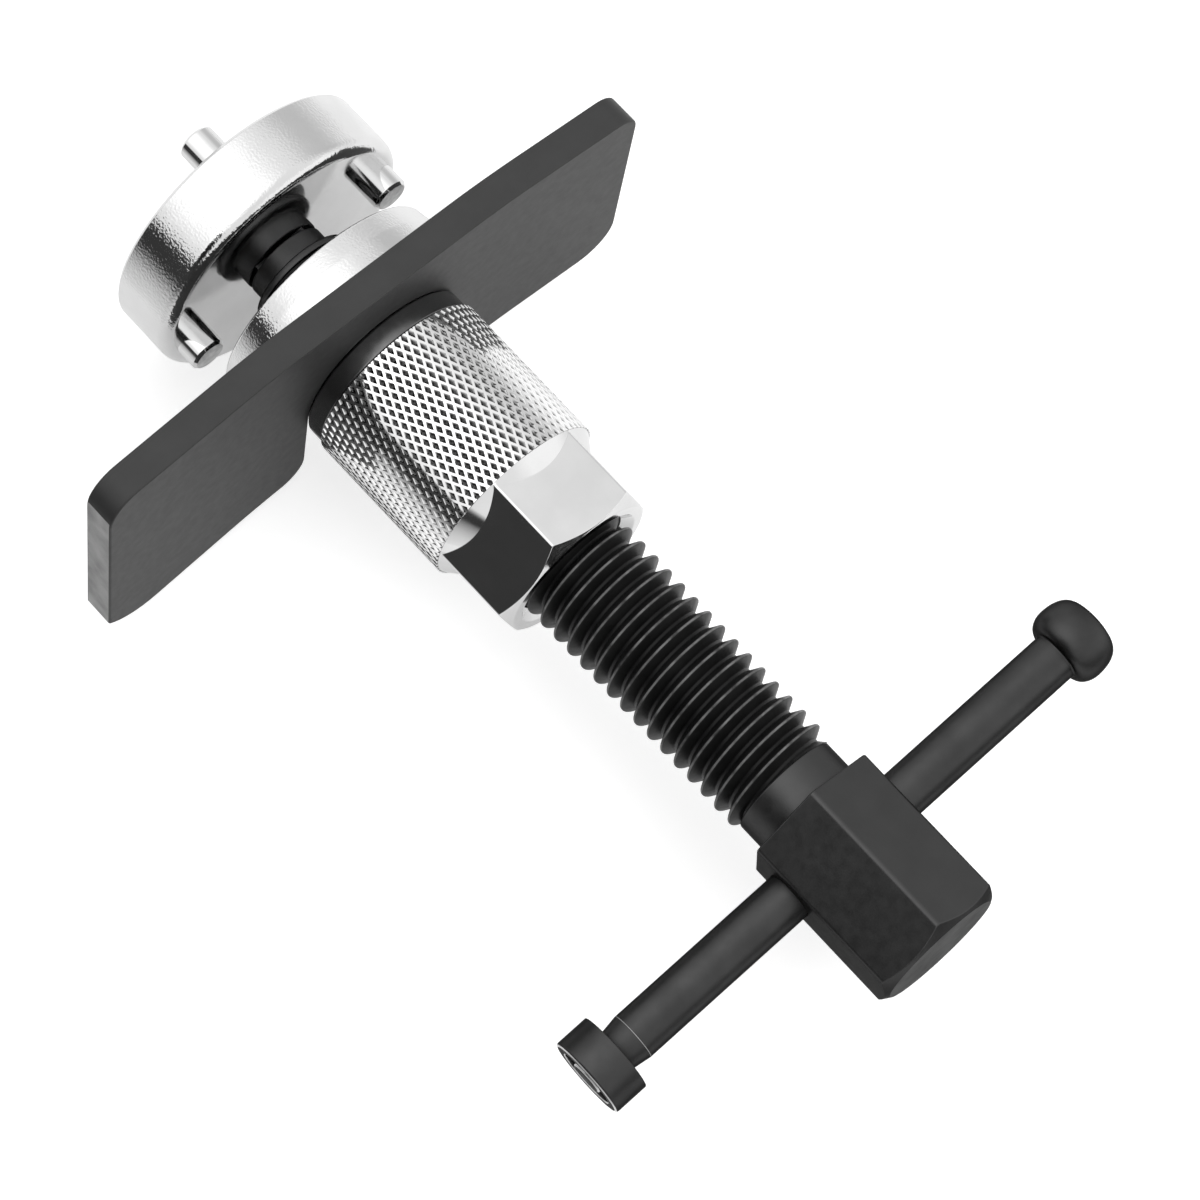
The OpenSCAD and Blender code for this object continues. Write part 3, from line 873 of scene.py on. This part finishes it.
def plate_mesh():
    """Plate with a slot that opens downwards, bent back softly on both sides."""
    turns = [math.pi * k / ARCH_STEPS for k in range(ARCH_STEPS + 1)]
    arch = [(-SLOT_R * math.cos(t), SLOT_R * math.sin(t), 0) for t in turns]
    outline = [(PLATE_RIGHT, PLATE_TOP, UPPER_RIGHT_R), (-PLATE_LEFT, PLATE_TOP, UPPER_LEFT_R)]
    outline += lower_left_curve() + [(-SLOT_R, plate_low(-SLOT_R), MOUTH_R)] + arch
    outline += [(SLOT_R, plate_low(SLOT_R), MOUTH_R), (PLATE_RIGHT, plate_low(PLATE_RIGHT), LOWER_RIGHT_R)]
    mesh = bmesh.new()
    mesh.faces.new([mesh.verts.new((p.x, p.y, 0)) for p in rounded(outline)])
    for side in (-1, 1):
        for k in range(-BEND_CUTS, BEND_CUTS + 1):
            cut = side * (PLATE_BEND + BEND_SPREAD * k / BEND_CUTS)
            bmesh.ops.bisect_plane(mesh, geom=mesh.verts[:] + mesh.edges[:] + mesh.faces[:],
                                   plane_co=(cut, 0, 0), plane_no=(1, 0, 0))
    rise = bmesh.ops.extrude_face_region(mesh, geom=mesh.faces[:])["geom"]
    for vert in (item for item in rise if isinstance(item, bmesh.types.BMVert)):
        vert.co.z = PLATE_T
    bmesh.ops.recalc_face_normals(mesh, faces=mesh.faces)
    rims = [edge for edge in mesh.edges if edge.calc_face_angle(0) > RIM_ANGLE]
    bmesh.ops.bevel(mesh, geom=rims, offset=RIM_BEVEL, segments=RIM_SEGMENTS, profile=0.5, affect="EDGES")
    for vert in mesh.verts:
        vert.co.z += PLATE_FRONT + plate_back(vert.co.x)
    return mesh


def make_plate():
    """Plate with its sheared ends."""
    plate = piece("plate_body", plate_mesh(), "plate", "plate_black", PLATE_PAINT, "reaction_plate", sharp=40)
    coat(plate, PALE_EDGE_AND_SEAM_HIGHLIGHT, lambda face: abs(face.normal.x) > PLATE_END_FACING)


# Tommy bar and its cap

def bar_place(face):
    """Centre of a face in the millimetres of a piece that is drawn along the bar's axis."""
    return (TOOL @ ON_BAR).inverted() @ face.center


def rivet_edge(face):
    """Whether a face is on the rounded edge of the rivet's end."""
    spot = bar_place(face)
    return spot.z < BAR_END + RIVET_EDGE_DEPTH and spot.xy.length > RIVET_R - RIVET_EDGE_W


def lip(face):
    """Whether a face is on the lip of the cap's recess or on the edge of its end."""
    spot = bar_place(face)
    at_end = BAR_END - LIP_ABOVE < spot.z < BAR_END + LIP_DEPTH
    return at_end and not RECESS_R + LIP_W < spot.xy.length < CAP_R - CAP_EDGE_W


def make_bar():
    """Bar with its riveted stem, its taper, the seam behind it with a painted highlight, and its formed knob.
    """
    rise = []
    for k in range(KNOB_STEPS + 1):
        turn = math.pi / 2 * k / KNOB_STEPS
        r = SHOULDER_R + (KNOB_R - SHOULDER_R) * math.sin(turn)
        rise.append((r, KNOB_START + KNOB_BELLY * (1 - math.cos(turn)), 0))
    crown = []
    for k in range(1, KNOB_STEPS):
        turn = math.pi / 2 * k / KNOB_STEPS
        depth = (KNOB_LEN - KNOB_BELLY) * math.sin(turn)
        crown.append((KNOB_R * math.cos(turn) ** KNOB_FULLNESS, KNOB_START + KNOB_BELLY + depth, 0))
    taper_end = CAP_INNER + TAPER_LEN
    section = [(0, BAR_END, 0), (RIVET_R, BAR_END, EDGE_ROUND), (RIVET_R, CAP_INNER, 0),
               (TAPER_R, CAP_INNER, HAIR_ROUND), (BAR_R, taper_end, 0), (BAR_R, taper_end + SEAM_W, 0),
               (BAR_R, KNOB_START, SHOULDER_ROUND)]
    section += rise + crown + [(0, KNOB_START + KNOB_LEN, 0)]
    bar = piece("bar_rod", turned(section, even_angles(MEDIUM_STEPS)), "bar", "black_steel", BAR_STEEL,
                "tommy_bar", place=ON_BAR)
    seam = taper_end + SEAM_W / 2
    coat(bar, WORN_EDGE, rivet_edge)
    # Painted highlight: the seam band behind the taper gets the pale colour of the sheared ends.
    coat(bar, PALE_EDGE_AND_SEAM_HIGHLIGHT, lambda face: abs(bar_place(face).z - seam) < SEAM_W / 4)


def make_cap():
    """Cap with a shallow recess round the rivet."""
    bore_r = RIVET_R + PRESS_GAP
    floor = BAR_END + RECESS_DEPTH
    section = [(bore_r, floor, 0), (RECESS_R, floor, 0), (RECESS_R, BAR_END, HAIR_ROUND),
               (CAP_R, BAR_END, CAP_ROUND), (CAP_R, CAP_INNER, CAP_INNER_ROUND), (bore_r, CAP_INNER, 0)]
    cap = piece("cap_body", turned(section, even_angles(LARGE_STEPS)), "bar", "black_steel", BAR_STEEL,
                "bar_end_cap", place=ON_BAR)
    coat(cap, WORN_EDGE, lip)


# Stage, light and camera

def seen_rays(nodes, links, to_camera, in_gloss):
    """A strength for rays from the camera, another for those in gloss and glass, and none for the rest."""
    path = nodes.new("ShaderNodeLightPath")
    strengths = {"Is Camera Ray": to_camera, "Is Glossy Ray": in_gloss, "Is Transmission Ray": in_gloss}
    total = None
    for ray, strength in strengths.items():
        scaled = nodes.new("ShaderNodeMath")
        scaled.operation = "MULTIPLY"
        links.new(path.outputs[ray], scaled.inputs[0])
        scaled.inputs[1].default_value = strength
        if total is None:
            total = scaled.outputs[0]
            continue
        either = nodes.new("ShaderNodeMath")
        either.operation = "MAXIMUM"
        links.new(total, either.inputs[0])
        links.new(scaled.outputs[0], either.inputs[1])
        total = either.outputs[0]
    return total


def make_floor():
    """Pale floor under the tool, which glows to the camera and in the metal and keeps the shadow."""
    mesh = bmesh.new()
    bmesh.ops.create_circle(mesh, cap_ends=True, segments=FLOOR_STEPS, radius=FLOOR_R)
    data = bpy.data.meshes.new("floor")
    mesh.to_mesh(data)
    mesh.free()
    floor = bpy.data.objects.new("floor", data)
    floor.location.z = cad_box[0][2]
    bpy.context.scene.collection.objects.link(floor)
    material = bpy.data.materials.new("pale floor")
    material.use_nodes = True
    nodes, links = material.node_tree.nodes, material.node_tree.links
    nodes.remove(nodes["Principled BSDF"])
    diffuse = nodes.new("ShaderNodeBsdfDiffuse")
    diffuse.inputs["Color"].default_value = (*grey(FLOOR_SHADE), 1)
    glow = nodes.new("ShaderNodeEmission")
    links.new(seen_rays(nodes, links, FLOOR_GLOW, FLOOR_GLOSS), glow.inputs["Strength"])
    both = nodes.new("ShaderNodeAddShader")
    links.new(diffuse.outputs[0], both.inputs[0])
    links.new(glow.outputs[0], both.inputs[1])
    links.new(both.outputs[0], nodes["Material Output"].inputs["Surface"])
    data.materials.append(material)


def make_world():
    """White to the camera and in the metal, and a softer light on the rest."""
    world = bpy.data.worlds.new("studio")
    bpy.context.scene.world = world
    world.use_nodes = True
    nodes, links = world.node_tree.nodes, world.node_tree.links
    background = nodes["Background"]
    background.inputs["Color"].default_value = (1, 1, 1, 1)
    extra = nodes.new("ShaderNodeMath")
    extra.operation = "ADD"
    links.new(seen_rays(nodes, links, 1 - WORLD_FILL, 1 - WORLD_FILL), extra.inputs[0])
    extra.inputs[1].default_value = WORLD_FILL
    links.new(extra.outputs[0], background.inputs["Strength"])


def make_lamp(name, place, target, width, height, power):
    """Soft rectangular lamp that faces a target and doesn't show as a reflection."""
    lamp = bpy.data.lights.new(name, "AREA")
    lamp.shape = "RECTANGLE"
    lamp.size = width
    lamp.size_y = height
    lamp.energy = power
    thing = bpy.data.objects.new(name, lamp)
    thing.location = place
    thing.rotation_euler = (Vector(target) - Vector(place)).to_track_quat("-Z", "Y").to_euler()
    thing.visible_glossy = False
    bpy.context.scene.collection.objects.link(thing)


def make_card(name, centre, facing, width, height, glow, soft=CARD_SOFT):
    """Studio card with soft edges that shows only as a reflection, dark or with a glow."""
    mesh = bmesh.new()
    bmesh.ops.create_grid(mesh, x_segments=1, y_segments=1, size=0.5)
    data = bpy.data.meshes.new(name)
    mesh.to_mesh(data)
    mesh.free()
    card = bpy.data.objects.new(name, data)
    card.scale = (width, height, 1)
    card.location = centre
    card.rotation_euler = Vector(facing).to_track_quat("Z", "Y").to_euler()
    bpy.context.scene.collection.objects.link(card)
    finish = Finish(name, grey(0), 1.0)
    parts = finish.add("ShaderNodeSeparateXYZ", Vector=finish.place).outputs
    edges = []
    for part in parts[:2]:
        middle = finish.add("ShaderNodeMath", Value=part)
        middle.operation = "ABSOLUTE"
        edges.append(finish.between(middle.outputs[0], 0.5 - soft, 0.5, 1, 0))
    light = finish.add("ShaderNodeEmission", Strength=glow)
    clear = finish.add("ShaderNodeBsdfTransparent")
    mix = finish.nodes.new("ShaderNodeMixShader")
    finish.links.new(finish.product(*edges), mix.inputs[0])
    finish.links.new(clear.outputs[0], mix.inputs[1])
    finish.links.new(light.outputs[0], mix.inputs[2])
    finish.links.new(mix.outputs[0], finish.nodes["Material Output"].inputs["Surface"])
    data.materials.append(finish.material)
    card.visible_camera = False
    card.visible_diffuse = False
    card.visible_shadow = False


def make_camera():
    """Camera at the photograph's view, for a square picture."""
    data = bpy.data.cameras.new("camera")
    data.sensor_width = SENSOR_W
    data.lens = LENS
    data.clip_start = CLIP_START
    camera = bpy.data.objects.new("camera", data)
    turn = Matrix((CAMERA_RIGHT, CAMERA_UP, CAMERA_BACK)).transposed().to_4x4()
    camera.matrix_world = Matrix.Translation(CAMERA_PLACE) @ turn
    bpy.context.scene.collection.objects.link(camera)
    bpy.context.scene.camera = camera


make_camera()
make_screw()
make_magnet()
make_disc()
for rear_pin in ("left_rear_pin", "right_rear_pin"):
    make_pin(rear_pin, DISC_REAR)
for front_pin in ("upper_front_pin", "lower_front_pin"):
    make_pin(front_pin, DISC_FRONT)
make_nut()
make_collar()
make_ring()
make_plate()
make_bar()
make_cap()
make_floor()
make_world()
make_lamp("top", place=(0.2, 0.15, 1.2), target=(0, -0.08, 0), width=1.5, height=1.5, power=9)
make_lamp("front", place=(0.3, -1.0, 0.8), target=(0, -0.05, 0), width=1.0, height=0.8, power=8)
make_card("left_card", centre=(-0.207, -0.06, 0.054), facing=(0.453, 0, 0.891),
          width=0.6, height=0.36, glow=0.045, soft=0.2)
make_card("end_card", centre=(0, -0.33, 0), facing=(0, 0.3, 0.95),
          width=0.4, height=0.24, glow=0.02)
make_card("head_card", centre=(-0.25, -0.085, 0.155), facing=(0.85, 0, -0.5),
          width=0.13, height=0.2, glow=0.02)
make_card("near_card", centre=(-0.38, -0.16, 0.19), facing=(0.85, 0.25, -0.42),
          width=0.35, height=0.3, glow=0.03, soft=0.25)
make_card("right_card", centre=(0.45, 0.1, 0.25), facing=(-0.85, -0.2, -0.45),
          width=0.7, height=0.5, glow=0.68, soft=0.35)
make_card("white_card", centre=(-0.216, 0.082, 0.555), facing=(0.36, -0.22, -0.9),
          width=1.2, height=1.0, glow=1.8, soft=0.4)
make_card("cone_card", centre=(0.41, -0.71, 0.26), facing=(-0.51, 0.8, -0.32),
          width=1.2, height=0.6, glow=1.2, soft=0.2)
bpy.context.scene.view_settings.view_transform = "Standard"
